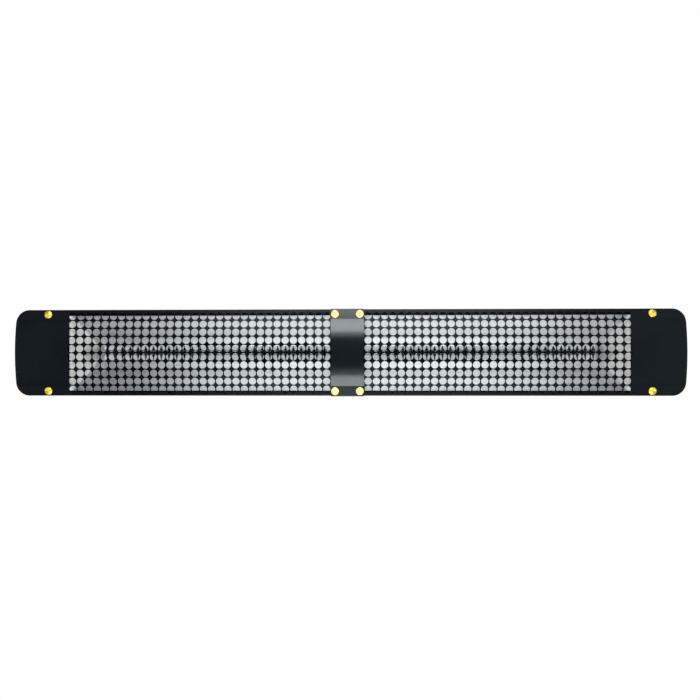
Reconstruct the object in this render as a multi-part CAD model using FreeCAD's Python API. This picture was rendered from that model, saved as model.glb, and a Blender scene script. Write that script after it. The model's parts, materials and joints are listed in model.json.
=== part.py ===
"""Twin-bay infrared strip heater on two tilting wall brackets.

Millimetres. +X runs along the heater, the front faces -Y and +Z is up. The wall is the plane
Y = 0, and the origin is the centre of the four wall fixing holes on that plane.
"""

import FreeCAD
import Part

import math
import os

V = FreeCAD.Vector

# Clearances that keep neighbouring pieces apart
GAP = 0.1  # between sheets, and round a screw in its hole
SEAT_GAP = 0.05  # under heads and nuts, and between mating threads
HOLE_GAP = 0.3  # round a screw that passes through an adjustable hole

# Overall size
HALF_LENGTH = 771.5
CROWN_Y = -176.0  # outermost line of the domed covers
SAG = 10.8  # how far the dome stands in front of its flat flanges
BEND_Z = 77.0  # where the dome would meet a flange if the bend were sharp
BEND_R = 6.0
FLANGE_Z = 99.8  # outer edge of a flange
FLANGE_SLOPE = math.radians(8.0)  # a flange falls back towards its outer edge
CORNER_R = 30.0
FLANGE_Y = CROWN_Y + SAG  # at the bend

# Front covers
COVER_T = 1.5
SKIRT_DEPTH = 15.0
RIM_R = 3.0  # outside radius where a cover's front turns into its skirt
JOINT_GAP = 0.4  # from the centre plane to a cover's inner edge
HOLE_PITCH = 19.05
HOLE_D = 16.8
HOLE_COLUMNS = 32
FIRST_COLUMN = 2.5 * HOLE_PITCH
HOLE_ROWS = 5  # on each side of the centre line

# Centre strap and cover screws
STRAP_HALF_X = 38.1
STRAP_T = 1.0
SCREW_X_INNER = 28.6
SCREW_X_OUTER = 696.0
SCREW_Z = 88.9
SCREW_R = 3.0
SCREW_HEAD_R = 8.8
SCREW_HEAD_H = 3.8
SCREW_HEAD_RIM = 0.8
SOCKET_R = 2.9
SOCKET_DEPTH = 2.2
INSERT_R = 5.0
INSERT_LENGTH = 7.0

# Housing
WALL_T = 1.2
LIP_GAP = 0.6  # between a cover's flange and the housing's lip behind it
HOUSING_Z = 97.7
LIP_Z = 87.0
SHOULDER_Y = -135.0
BACK_Z = 72.0
BACK_Y = -84.0
HOUSING_HALF_X = 741.0
LAND_Z = 80.0  # inner edge of the widened lips that carry screws
CENTRE_LAND_X = 33.8
END_LAND_X = (680.0, 712.0)
CAP_FLANGE = 12.0
RIVET_R = 2.0
RIVET_HEAD_R = 3.6
RIVET_TOP_R = 2.0
RIVET_HEAD_H = 1.0
RIVET_Z = (-50.0, 0.0, 50.0)
RIVET_SETBACK = 7.0  # in front of the housing's shoulders

# Reflectors
SHEET_T = 0.8
END_WALL_T = 1.1  # along X, through the sloped sheet
REFLECTOR_SECTION = ((86.8, 0.0), (86.8, 5.0), (32.5, 46.6), (16.6, 54.0))  # z, depth
REFLECTOR_FLANGE_Z = 93.4
REFLECTOR_DROP = 1.2  # the reflectors and the lips' inner edges sit this much below the centre
BACK_BOW = 0.5  # depth of the shallow curve across a reflector's back
BAY_INNER_X = 34.8
BAY_OUTER_X = 646.5
BAY_BACK_X = 594.0

# Lamps
LAMP_Y = -133.0
TUBE_R = 5.0
TUBE_WALL = 1.0
TUBE_X = (21.2, 637.8)
FILAMENT_R = 1.6
FILAMENT_X = (40.0, 600.0)
CERAMIC_R = 9.0
CERAMIC_SOCKET = 8.0
INNER_CERAMIC_X = (5.0, 29.0)
OUTER_CERAMIC_X = (630.0, 652.0)
SUPPORT_X = 589.0
SUPPORT_T = 1.2
SUPPORT_HALF_Z = 15.0
SUPPORT_REACH = 10.0  # in front of the lamp's axis
SUPPORT_FOOT_Z = 11.8
SUPPORT_FOOT_X = 10.0
SUPPORT_FOOT_T = 2.0
LAMP_OPENING_R = 6.2
HOLDER_T = 1.2
HOLDER_HALF_Z = 15.0
HOLDER_REACH = 12.0  # in front of the lamp's axis
HOLDER_FOOT_X = 14.0
OUTER_HOLDER_X = 640.0
INNER_HOLDER_X = 17.0

# Heat shield
SHIELD_Y = -98.0
SHIELD_T = 1.0
SHIELD_EDGE = 8.0
SHIELD_HALF_X = 655.0
SHIELD_Z = 58.0
STANDOFF_X = (130.0, 300.0, 480.0, 620.0)
STANDOFF_Z = 40.0
STANDOFF_R = 4.0

# Leads
LEAD_R = 1.6
LEAD_HOLE_R = 2.6  # through the holder and the heat shield
LEAD_Y = -92.0
LEAD_BEND_R = 4.8
LEAD_OUT_X = 676.0
LEAD_X_INNER = 10.0
LEAD_X_OUTER = 26.0
LEAD_ENTRY_Z = 20.0
LEAD_TOP_Y = -70.0
GROMMET_R = 4.2
GROMMET_FLANGE_R = 5.6
GROMMET_FLANGE_T = 1.4

# Terminal box
BOX_X = 62.0
BOX_Z = 34.0
BOX_OPEN_Y = -57.0
BOX_T = 1.2
GASKET_T = 1.5
GASKET_W = 7.0
COVER_PLATE_T = 1.5
POST_X = 51.0
POST_Z = 25.0
POST_R = 4.0
COVER_SCREW_R = 1.95
COVER_SCREW_LENGTH = 12.0
COVER_HEAD_R = (3.9, 3.0)  # seat and top
COVER_HEAD_H = 2.4
COVER_CORNER_R = 4.0
COVER_OVERHANG = 1.0
SLOT_HALF = 0.5  # half the width of a driver's slot
SLOT_DEPTH = 1.0
WELL_R = 3.4
WELL_DEPTH = 9.0
GROOVE_HALF = 1.2
GROOVE_DEPTH = 3.0
TERMINAL_SCREW_R = 3.2
TERMINAL_SCREW_LENGTH = 5.0
BLOCK_X = 38.0
BLOCK_Z = (-12.0, 10.0)
BLOCK_Y = (-82.3, -62.0)
TERMINAL_X = (-26.0, -10.0, 10.0, 26.0)
EARTH_X = -50.0
EARTH_R = 2.5
EARTH_LENGTH = 18.0
EARTH_NUT_Y = (6.0, 10.0)  # above the box's floor
EARTH_NUT_HEX = 8.0

# Cable gland, on the box's bottom wall
GLAND_X = 0.0
GLAND_Y = -69.5
GLAND_THREAD_R = 8.0
GLAND_THREAD_LENGTH = 9.0  # inside the box
GLAND_BORE_R = 6.2
GLAND_HEX = 20.0
GLAND_HEX_T = 6.0
GLAND_FRONT_LENGTH = 7.0
GLAND_NUT_HEX = 18.5
GLAND_NUT_T = 4.0
SEAL_BORE_R = 5.0
SEAL_R = 6.8
SEAL_LENGTH = 7.0
CAP_HEX_T = 9.0
CAP_NOSE = 8.0
CAP_NOSE_R = 7.8

# Tilt mechanism
PIVOT_Y = -50.0
PIVOT_R = 4.0
PLATE_T = 3.0
WALL_EAR_X = (388.0, 391.0)
TILT_EAR_X = (392.2, 395.2)
WALL_EAR_R = 27.0
TILT_EAR_R = 26.0
LOCK_RADIUS = 18.0
LOCK_R = 3.0
TILT_LIMIT = 45.0
SLOT_SPARE = 1.5  # extra travel past each limit, degrees
WALL_PLATE_X = 340.0
WALL_PLATE_Z = 55.0
WALL_HOLE_X = 362.0
WALL_HOLE_Z = 36.0
WALL_HOLE_R = 4.25
WALL_EAR_Z = 48.0
FOOT_X = 428.0
FOOT_Z = 45.0
FOOT_BOLT_X = 411.0
FOOT_BOLT_Z = 33.0
BACKING_T = 2.0
BACKING_HALF_X = 14.0

# Bolts of the tilt mechanism
PIVOT_HEX = 13.0
PIVOT_HEAD_H = 5.3
PIVOT_NUT_H = 6.5
PIVOT_WASHER_R = 11.0
SMALL_HEX = 10.0
SMALL_HEAD_H = 4.0
SMALL_NUT_H = 5.0
LOCK_WASHER_R = 6.0
LOCK_WASHER_T = 1.6
BOLT_TAIL = 5.0  # thread past the ears, beyond the head's height
FOOT_BOLT_LENGTH = 10.0  # inside the housing


# Shape helpers

def box(x, y, z):
    """A block between the two values of each pair."""
    corner = V(min(x), min(y), min(z))
    return Part.makeBox(abs(x[1] - x[0]), abs(y[1] - y[0]), abs(z[1] - z[0]), corner)


def rod(start, end, radius):
    """A cylinder from one point to another."""
    axis = V(*end) - V(*start)
    return Part.makeCylinder(radius, axis.Length, V(*start), axis)


def tube(start, end, outer, inner):
    """A straight tube."""
    return rod(start, end, outer).cut(rod(start, end, inner))


def hexagon(start, end, across_flats):
    """A hexagonal bar from one point to another."""
    radius = across_flats / math.sqrt(3)
    corners = [V(radius * math.cos(math.radians(60 * k)), radius * math.sin(math.radians(60 * k)), 0)
               for k in range(7)]
    axis = V(*end) - V(*start)
    bar = Part.Face(Part.makePolygon(corners)).extrude(V(0, 0, axis.Length))
    bar.Placement = FreeCAD.Placement(V(*start), FreeCAD.Rotation(V(0, 0, 1), axis))
    return bar


def along_x(points, x):
    """A polygon of (y, z) points, extruded between two X values."""
    loop = [V(x[0], y, z) for y, z in points]
    return Part.Face(Part.makePolygon(loop + loop[:1])).extrude(V(x[1] - x[0], 0, 0))


def offset_path(points, distance):
    """An open (y, z) path moved sideways, with mitred corners."""
    normals = []
    for (y0, z0), (y1, z1) in zip(points, points[1:]):
        length = math.hypot(y1 - y0, z1 - z0)
        normals.append(((z1 - z0) / length, -(y1 - y0) / length))
    moved = []
    for k, (y, z) in enumerate(points):
        before = normals[max(k - 1, 0)]
        after = normals[min(k, len(normals) - 1)]
        spread = 1 + before[0] * after[0] + before[1] * after[1]
        moved.append((y + distance * (before[0] + after[0]) / spread,
                      z + distance * (before[1] + after[1]) / spread))
    return moved


def folded_sheet(points, thickness, x):
    """A sheet folded along an open (y, z) path, extruded along X."""
    return along_x(list(points) + offset_path(points, thickness)[::-1], x)


def bowed_sheet(points, thickness, bow, x):
    """A folded sheet whose middle run is a shallow arc instead of a flat."""
    def run(line):
        corners = [V(x[0], y, z) for y, z in line]
        middle = len(corners) // 2
        crown = (corners[middle - 1] + corners[middle]) * 0.5 + V(0, bow, 0)
        edges = [Part.makeLine(a, b) for a, b in zip(corners, corners[1:])]
        edges[middle - 1] = Part.Arc(corners[middle - 1], crown, corners[middle]).toShape()
        return corners, edges

    front, front_edges = run(points)
    rear, rear_edges = run(offset_path(points, thickness))
    ends = [Part.makeLine(front[0], rear[0]), Part.makeLine(front[-1], rear[-1])]
    outline = Part.Wire(Part.__sortEdges__(front_edges + rear_edges + ends))
    return Part.Face(outline).extrude(V(x[1] - x[0], 0, 0))


def mirrored(shape):
    """The same piece on the other side of the centre plane."""
    return shape.mirror(V(0, 0, 0), V(1, 0, 0))


def both_sides(shape):
    """The two pieces of a left and right pair."""
    return [mirrored(shape), shape]


def group(shapes):
    return Part.makeCompound(shapes)


def save(node, shape):
    shape.exportStep(os.path.join("parts", node + ".step"))


# Front covers, strap and screws

def dome_radius():
    return (BEND_Z ** 2 + SAG ** 2) / (2 * SAG)


def flange_y(z, behind=0.0):
    """Y of the flanges' plane at a height, or of a plane some way behind it along Y."""
    return FLANGE_Y + (abs(z) - BEND_Z) * math.tan(FLANGE_SLOPE) + behind


def flange_rod(x, z, start, end, radius):
    """A cylinder square to a flange, from start to end along the way into the heater."""
    origin = V(x, flange_y(z), z)
    inward = V(0, math.cos(FLANGE_SLOPE), -math.copysign(math.sin(FLANGE_SLOPE), z))
    return Part.makeCylinder(radius, end - start, origin + inward * start, inward)


def bend_points():
    """(y, z) on the flange, in the middle of the bend and on the dome, where the bend rounds off."""
    dome_centre = V(0, CROWN_Y + dome_radius(), 0)
    along = V(0, math.sin(FLANGE_SLOPE), math.cos(FLANGE_SLOPE))
    forward = V(0, -math.cos(FLANGE_SLOPE), math.sin(FLANGE_SLOPE))
    offset = V(0, FLANGE_Y, BEND_Z) + forward * BEND_R - dome_centre
    half_b = offset.dot(along)
    travel = -half_b + math.sqrt(half_b ** 2 - offset.dot(offset) + (dome_radius() + BEND_R) ** 2)
    centre = dome_centre + offset + along * travel
    on_flange = centre - forward * BEND_R
    on_dome = dome_centre + (centre - dome_centre).normalize() * dome_radius()
    halfway = ((on_flange + on_dome) * 0.5 - centre).normalize()
    middle = centre + halfway * BEND_R
    return [(point.y, point.z) for point in (on_flange, middle, on_dome)]


def dome_prism(x, shift, half_height, back):
    """Everything behind the domed front line, moved by shift, between two X values."""
    start = V(x[0], back, half_height)
    top = V(x[0], flange_y(half_height, shift), half_height)
    crown = V(x[0], CROWN_Y + shift, 0)
    bend_start, bend_middle, bend_end = [V(x[0], y + shift, z) for y, z in bend_points()]

    def low(point):
        return V(point.x, point.y, -point.z)

    edges = [
        Part.makeLine(start, top),
        Part.makeLine(top, bend_start),
        Part.Arc(bend_start, bend_middle, bend_end).toShape(),
        Part.Arc(bend_end, crown, low(bend_end)).toShape(),
        Part.Arc(low(bend_end), low(bend_middle), low(bend_start)).toShape(),
        Part.makeLine(low(bend_start), low(top)),
        Part.makeLine(low(top), low(start)),
        Part.makeLine(low(start), start),
    ]
    return Part.Face(Part.Wire(edges)).extrude(V(x[1] - x[0], 0, 0))


def rounded_end(inner_x, outer_x, half_height, radius, y):
    """A slab with two rounded outer corners, seen from the front."""
    corner_x = outer_x - radius
    corner_z = half_height - radius
    diagonal = radius * math.sqrt(0.5)
    top = V(corner_x, y[0], half_height)
    side = V(outer_x, y[0], corner_z)
    middle = V(corner_x + diagonal, y[0], corner_z + diagonal)

    def low(point):
        return V(point.x, point.y, -point.z)

    edges = [
        Part.makeLine(V(inner_x, y[0], half_height), top),
        Part.Arc(top, middle, side).toShape(),
        Part.makeLine(side, low(side)),
        Part.Arc(low(side), low(middle), low(top)).toShape(),
        Part.makeLine(low(top), V(inner_x, y[0], -half_height)),
        Part.makeLine(V(inner_x, y[0], -half_height), V(inner_x, y[0], half_height)),
    ]
    return Part.Face(Part.Wire(edges)).extrude(V(0, y[1] - y[0], 0))


def punches():
    """One cylinder for each hole of the right-hand cover, square to the sheet."""
    dome_r = dome_radius()
    bend_angle = math.asin(BEND_Z / dome_r)
    reach = 12.0
    tools = []
    for row in range(HOLE_ROWS):
        along_sheet = (row + 0.5) * HOLE_PITCH
        if along_sheet < dome_r * bend_angle:
            angle = along_sheet / dome_r
            y = CROWN_Y + dome_r * (1 - math.cos(angle))
            z = dome_r * math.sin(angle)
        else:
            angle = FLANGE_SLOPE
            z = BEND_Z + (along_sheet - dome_r * bend_angle) * math.cos(angle)
            y = flange_y(z)
        for side in (1, -1):
            normal = V(0, -math.cos(angle), side * math.sin(angle))
            for column in range(HOLE_COLUMNS):
                x = FIRST_COLUMN + column * HOLE_PITCH
                start = V(x, y, side * z) - normal * reach
                tools.append(Part.makeCylinder(HOLE_D / 2, 2 * reach, start, normal))
    return group(tools)


def screw_places():
    """(x, z) of the cover screws on the right-hand side."""
    return [(x, side * SCREW_Z) for x in (SCREW_X_INNER, SCREW_X_OUTER) for side in (1, -1)]


def cover_form(inset, inner_x, back, rim_r):
    """The solid under a cover's front, inset by a sheet's thickness, with its rim rounded."""
    front = CROWN_Y - 5
    end_x = HALF_LENGTH - inset
    edge_z = FLANGE_Z - inset
    form = rounded_end(inner_x, end_x, edge_z, CORNER_R - inset, (front, back))
    form = form.common(dome_prism((inner_x, end_x), inset, FLANGE_Z, back))
    rim = []
    for edge in form.Edges:
        middle = edge.valueAt((edge.FirstParameter + edge.LastParameter) / 2)
        on_side = abs(middle.z) > edge_z - 0.01
        on_end = middle.x > end_x - CORNER_R and (
            middle.x > end_x - 0.01 or abs(middle.z) > edge_z - CORNER_R)
        if edge.BoundBox.YMax < back - 1 and middle.x > inner_x + 1 and (on_side or on_end):
            rim.append(edge)
    return form.makeFillet(rim_r, rim)


def front_cover():
    """The right-hand perforated cover with its rounded plain end and turned-back skirt."""
    back = FLANGE_Y + SKIRT_DEPTH
    outer = cover_form(0, JOINT_GAP, back, RIM_R)
    inner = cover_form(COVER_T, JOINT_GAP - 1, back + 1, RIM_R - COVER_T)
    cover = outer.cut(inner).cut(punches())
    for x, z in screw_places():
        cover = cover.cut(flange_rod(x, z, -5, 5, SCREW_R + HOLE_GAP))
    return cover


def centre_strap():
    """The domed band over the joint of the covers, wrapped round their skirts."""
    x = (-STRAP_HALF_X, STRAP_HALF_X)
    back = FLANGE_Y + SKIRT_DEPTH
    outside = STRAP_T + GAP
    outer = dome_prism(x, -outside, FLANGE_Z + outside, back)
    inner = dome_prism((x[0] - 1, x[1] + 1), -GAP, FLANGE_Z + GAP, back + 1)
    strap = outer.cut(inner)
    for side_x in (SCREW_X_INNER, -SCREW_X_INNER):
        for z in (SCREW_Z, -SCREW_Z):
            strap = strap.cut(flange_rod(side_x, z, -6, 5, SCREW_R + HOLE_GAP))
    return strap


def cover_screw(x, z, seat):
    """A button-head socket screw square to the flange, with its head resting at depth seat."""
    dome = SCREW_HEAD_H - SCREW_HEAD_RIM
    sphere_r = (SCREW_HEAD_R ** 2 + dome ** 2) / (2 * dome)
    shank_end = COVER_T + LIP_GAP + WALL_T + INSERT_LENGTH + 1.0
    head = rod((0, 0, 0), (0, 0, SCREW_HEAD_H), SCREW_HEAD_R)
    head = head.common(Part.makeSphere(sphere_r, V(0, 0, SCREW_HEAD_H - sphere_r)))
    socket = hexagon((0, 0, SCREW_HEAD_H - SOCKET_DEPTH), (0, 0, SCREW_HEAD_H + 1), 2 * SOCKET_R)
    shank = rod((0, 0, seat - shank_end), (0, 0, 0), SCREW_R)
    screw = head.fuse(shank).removeSplitter().cut(socket)
    outward = V(0, -math.cos(FLANGE_SLOPE), math.copysign(math.sin(FLANGE_SLOPE), z))
    screw.Placement = FreeCAD.Placement(V(x, flange_y(z), z) - outward * seat,
                                        FreeCAD.Rotation(V(0, 0, 1), outward))
    return screw


def cover_screws():
    """All eight cover screws."""
    screws = []
    for x, z in screw_places():
        on_strap = x < STRAP_HALF_X
        seat = -(STRAP_T + GAP) if on_strap else 0.0
        screws += both_sides(cover_screw(x, z, seat))
    return group(screws)


def screw_inserts():
    """The threaded inserts behind the housing's lips."""
    start = COVER_T + LIP_GAP + WALL_T
    end = start + INSERT_LENGTH
    inserts = []
    for x, z in screw_places():
        body = flange_rod(x, z, start, end, INSERT_R)
        inserts += both_sides(body.cut(flange_rod(x, z, start - 1, end + 1, SCREW_R + SEAT_GAP)))
    return group(inserts)


# Housing

def lip_y(z):
    """Y of the front of the housing's lips at a height."""
    return flange_y(z, COVER_T + LIP_GAP)


def housing_path(inset=0.0):
    """The (y, z) path of the housing's section, from its top lip round to its bottom lip."""
    upper = [(lip_y(HOUSING_Z), HOUSING_Z), (SHOULDER_Y, HOUSING_Z), (BACK_Y, BACK_Z)]
    top_lip = LIP_Z - REFLECTOR_DROP
    bottom_lip = -LIP_Z - REFLECTOR_DROP
    path = [(lip_y(top_lip), top_lip)] + upper + [(y, -z) for y, z in reversed(upper)]
    path.append((lip_y(bottom_lip), bottom_lip))
    return offset_path(path, inset) if inset else path


def lead_holes(y, radius):
    """Cutters for the four lead holes between two Y values."""
    tools = []
    for x in (LEAD_X_INNER, LEAD_X_OUTER):
        tools += both_sides(rod((x, y[0], LEAD_ENTRY_Z), (x, y[1], LEAD_ENTRY_Z), radius))
    return group(tools)


def foot_bolt_places():
    """(x, z) of the tilt brackets' bolts."""
    return [(sx * FOOT_BOLT_X, sz * FOOT_BOLT_Z) for sx in (1, -1) for sz in (1, -1)]


def rivet_places():
    """(point on the housing's skin, outward direction) of the right-hand end cap's rivets."""
    x = HOUSING_HALF_X - CAP_FLANGE / 2
    back = [((x, BACK_Y, z), (0, 1, 0)) for z in RIVET_Z]
    sides = [((x, SHOULDER_Y - RIVET_SETBACK, s * HOUSING_Z), (0, 0, s)) for s in (1, -1)]
    return back + sides


def rivet_hole(point, direction):
    """The cutter of one rivet's hole."""
    out = V(*direction)
    reach = 4.0
    return Part.makeCylinder(RIVET_R + SEAT_GAP, 2 * reach, V(*point) - out * reach, out)


def housing_trough():
    """The folded body of the heater, with widened lips where cover screws go."""
    trough = folded_sheet(housing_path(), WALL_T, (-HOUSING_HALF_X, HOUSING_HALF_X))
    inner_z = HOUSING_Z - WALL_T / 2
    land = [(lip_y(LAND_Z), LAND_Z), (lip_y(inner_z), inner_z)]
    for side in (1, -1):
        path = [(y, side * z) for y, z in land]
        thickness = side * WALL_T
        trough = trough.fuse(folded_sheet(path, thickness, (-CENTRE_LAND_X, CENTRE_LAND_X)))
        trough = trough.fuse(group(both_sides(folded_sheet(path, thickness, END_LAND_X))))
    trough = trough.removeSplitter()
    holes = []
    for x, z in screw_places():
        holes += both_sides(flange_rod(x, z, COVER_T, COVER_T + LIP_GAP + WALL_T + 1, SCREW_R + HOLE_GAP))
    for x, z in foot_bolt_places():
        holes.append(rod((x, BACK_Y - 3, z), (x, BACK_Y + 1, z), SCREW_R + GAP))
    for point, direction in rivet_places():
        holes += both_sides(rivet_hole(point, direction))
    trough = trough.cut(group(holes))
    return trough.cut(lead_holes((BACK_Y - 3, BACK_Y + 1), GROMMET_R + SEAT_GAP))


def end_cap():
    """The right-hand end of the housing, with a flange inside the trough."""
    path = housing_path()
    plate = along_x(path, (HOUSING_HALF_X + GAP, HOUSING_HALF_X + GAP + WALL_T))
    inset = WALL_T + GAP
    inner = housing_path(inset)[1:-1]
    flange = folded_sheet(inner, WALL_T, (HOUSING_HALF_X - CAP_FLANGE, HOUSING_HALF_X + GAP))
    cap = plate.fuse(flange).removeSplitter()
    return cap.cut(group([rivet_hole(point, way) for point, way in rivet_places()]))


def cap_rivets():
    """Domed rivets through the trough and the end caps' flanges."""
    rivets = []
    for point, direction in rivet_places():
        out = V(*direction)
        skin = V(*point)
        depth = 2 * WALL_T + 1.0
        shank = Part.makeCylinder(RIVET_R, depth, skin - out * depth, out)
        head = Part.makeCone(RIVET_HEAD_R, RIVET_TOP_R, RIVET_HEAD_H, skin, out)
        rivets += both_sides(shank.fuse(head).removeSplitter())
    return group(rivets)


# Reflectors

def reflector_front(z):
    """Y of the reflectors' flanges, just behind the housing's lips, at a height."""
    return lip_y(z) + WALL_T / math.cos(FLANGE_SLOPE) + GAP


REFLECTOR_FRONT_Y = reflector_front(REFLECTOR_SECTION[0][0] + REFLECTOR_DROP)


def reflector_path():
    """The (y, z) path of the reflector's section, front edge to front edge."""
    upper = [(REFLECTOR_FRONT_Y + depth, z) for z, depth in REFLECTOR_SECTION]
    path = upper + [(y, -z) for y, z in reversed(upper)]
    return [(y, z - REFLECTOR_DROP) for y, z in path]


def beyond_end_wall(shift):
    """The space outside the sloped outer end of a bay, moved outwards by shift."""
    front = REFLECTOR_FRONT_Y
    back = reflector_path()[3][0]
    slope = (BAY_OUTER_X - BAY_BACK_X) / (back - front)
    reach = 20.0
    wide = 120.0
    x_front = BAY_OUTER_X + shift + slope * reach
    x_back = BAY_BACK_X + shift - slope * reach
    far = HOUSING_HALF_X
    points = [V(x_front, front - reach, -wide), V(far, front - reach, -wide),
              V(far, back + reach, -wide), V(x_back, back + reach, -wide)]
    return Part.Face(Part.makePolygon(points + points[:1])).extrude(V(0, 0, 2 * wide))


def support_slot():
    """The slot in a reflector's back that the lamp support's foot passes through."""
    back = reflector_path()[3][0]
    half = SUPPORT_T / 2 + 2 * GAP
    half_z = SUPPORT_FOOT_Z + HOLE_GAP
    return box((SUPPORT_X - half, SUPPORT_X + half), (back - 1, back + 2), (-half_z, half_z))


def reflector():
    """The right-hand bay's faceted trough, hipped at its outer end."""
    edges = [side * REFLECTOR_FLANGE_Z - REFLECTOR_DROP for side in (1, -1)]
    top, bottom = [(reflector_front(z), z) for z in edges]
    flanged = [top] + reflector_path() + [bottom]
    sheet = bowed_sheet(flanged, -SHEET_T, BACK_BOW, (BAY_INNER_X, BAY_OUTER_X))
    return sheet.cut(beyond_end_wall(0)).cut(support_slot())


def lamp_opening():
    """A cutter along the lamp's axis."""
    return rod((0, LAMP_Y, 0), (HOUSING_HALF_X, LAMP_Y, 0), LAMP_OPENING_R)


def reflector_outer_end():
    """The right-hand bay's sloped end wall."""
    wall = beyond_end_wall(GAP).cut(beyond_end_wall(GAP + END_WALL_T))
    reach = 30.0
    section = along_x(reflector_path(), (BAY_BACK_X - reach, BAY_OUTER_X + reach))
    return wall.common(section).cut(lamp_opening())


def reflector_inner_end():
    """The right-hand bay's upright inner end plate."""
    x = (BAY_INNER_X - GAP - SHEET_T, BAY_INNER_X - GAP)
    return along_x(reflector_path(), x).cut(lamp_opening())


# Lamps

def lamp_tube():
    """The right-hand quartz tube, closed at both ends."""
    outer = rod((TUBE_X[0], LAMP_Y, 0), (TUBE_X[1], LAMP_Y, 0), TUBE_R)
    seal = 12.0
    hollow = rod((TUBE_X[0] + seal, LAMP_Y, 0), (TUBE_X[1] - seal, LAMP_Y, 0), TUBE_R - TUBE_WALL)
    return outer.cut(hollow)


def lamp_filament():
    """The right-hand tungsten coil as a plain rod of the coil's outer size."""
    return rod((FILAMENT_X[0], LAMP_Y, 0), (FILAMENT_X[1], LAMP_Y, 0), FILAMENT_R)


def ceramic_end(x, glass_x):
    """A ceramic end between two X values, with a socket on the side nearer glass_x."""
    body = rod((x[0], LAMP_Y, 0), (x[1], LAMP_Y, 0), CERAMIC_R)
    if glass_x > x[1] - 1:
        socket = (x[1] - CERAMIC_SOCKET, x[1] + 1)
    else:
        socket = (x[0] - 1, x[0] + CERAMIC_SOCKET)
    return body.cut(rod((socket[0], LAMP_Y, 0), (socket[1], LAMP_Y, 0), TUBE_R + GAP))


def lamp_ceramics():
    """The four ceramic lamp ends."""
    inner = ceramic_end(INNER_CERAMIC_X, BAY_OUTER_X)
    outer = ceramic_end(OUTER_CERAMIC_X, 0)
    return group(both_sides(inner) + both_sides(outer))


def lamp_support():
    """The plate that steadies the right-hand tube near its outer end."""
    half = SUPPORT_T / 2
    x = (SUPPORT_X - half, SUPPORT_X + half)
    back = reflector_path()[3][0]
    behind = back + BACK_BOW + SHEET_T + 2 * GAP
    foot_z = (-SUPPORT_FOOT_Z, SUPPORT_FOOT_Z)
    plate = box(x, (LAMP_Y - SUPPORT_REACH, back - HOLE_GAP), (-SUPPORT_HALF_Z, SUPPORT_HALF_Z))
    tail = box(x, (back - 2 * HOLE_GAP, behind + SUPPORT_FOOT_T), foot_z)
    foot = box((x[0], SUPPORT_X + SUPPORT_FOOT_X), (behind, behind + SUPPORT_FOOT_T), foot_z)
    support = plate.fuse(tail).fuse(foot).removeSplitter()
    return support.cut(rod((x[0] - 1, LAMP_Y, 0), (x[1] + 1, LAMP_Y, 0), TUBE_R + HOLE_GAP))


def outer_holder():
    """The bracket on the heat shield that carries the right-hand outer ceramic."""
    x = OUTER_HOLDER_X
    z = (-HOLDER_HALF_Z, HOLDER_HALF_Z)
    plate = box((x, x + HOLDER_T), (LAMP_Y - HOLDER_REACH, SHIELD_Y - GAP), z)
    foot = box((x, x + HOLDER_FOOT_X), (SHIELD_Y - GAP - HOLDER_T, SHIELD_Y - GAP), z)
    hole = rod((x - 1, LAMP_Y, 0), (x + HOLDER_T + 1, LAMP_Y, 0), CERAMIC_R + GAP)
    return plate.fuse(foot).removeSplitter().cut(hole)


def centre_holder():
    """The bracket on the heat shield that carries both inner ceramics."""
    x = INNER_HOLDER_X
    z = (-HOLDER_HALF_Z, HOLDER_HALF_Z)
    top = (LAMP_Y - HOLDER_REACH, SHIELD_Y - GAP)
    base = (SHIELD_Y - GAP - HOLDER_T, SHIELD_Y - GAP)
    bracket = box((-x, x), base, z)
    for side in (1, -1):
        bracket = bracket.fuse(box((side * x, side * (x - HOLDER_T)), top, z))
    bracket = bracket.removeSplitter()
    bracket = bracket.cut(rod((-x - 1, LAMP_Y, 0), (x + 1, LAMP_Y, 0), CERAMIC_R + GAP))
    for side in (1, -1):
        lead = side * LEAD_X_INNER
        bracket = bracket.cut(rod((lead, base[0] - 1, 0), (lead, base[1] + 1, 0), LEAD_HOLE_R))
    return bracket


# Heat shield and leads

def heat_shield():
    """The sheet between the reflectors and the leads, with folded edges."""
    edge_y = SHIELD_Y - SHIELD_EDGE
    path = [(edge_y, SHIELD_Z), (SHIELD_Y, SHIELD_Z), (SHIELD_Y, -SHIELD_Z), (edge_y, -SHIELD_Z)]
    shield = folded_sheet(path, -SHIELD_T, (-SHIELD_HALF_X, SHIELD_HALF_X))
    for side in (1, -1):
        lead = side * LEAD_X_INNER
        shield = shield.cut(rod((lead, SHIELD_Y - 2, 0), (lead, SHIELD_Y + 3, 0), LEAD_HOLE_R))
    return shield


def shield_standoffs():
    """The pillars that hold the heat shield off the housing's back."""
    y = (SHIELD_Y + SHIELD_T + SEAT_GAP, BACK_Y - WALL_T - SEAT_GAP)
    pillars = []
    for x in STANDOFF_X:
        for z in (STANDOFF_Z, -STANDOFF_Z):
            pillars += both_sides(hexagon((x, y[0], z), (x, y[1], z), 2 * STANDOFF_R))
    return group(pillars)


def rounded_route(points, bend_r):
    """A wire along straight runs, with a tangent arc of bend_r at each corner."""
    route = [V(*p) for p in points]
    edges = []
    start = route[0]
    for before, corner, after in zip(route, route[1:], route[2:]):
        back = (before - corner).normalize()
        ahead = (after - corner).normalize()
        half = back.getAngle(ahead) / 2
        reach = bend_r / math.tan(half)
        centre = corner + (back + ahead).normalize() * (bend_r / math.sin(half))
        arc_start = corner + back * reach
        arc_end = corner + ahead * reach
        middle = centre + (corner - centre).normalize() * bend_r
        edges.append(Part.makeLine(start, arc_start))
        edges.append(Part.Arc(arc_start, middle, arc_end).toShape())
        start = arc_end
    edges.append(Part.makeLine(start, route[-1]))
    return Part.Wire(edges)


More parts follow.
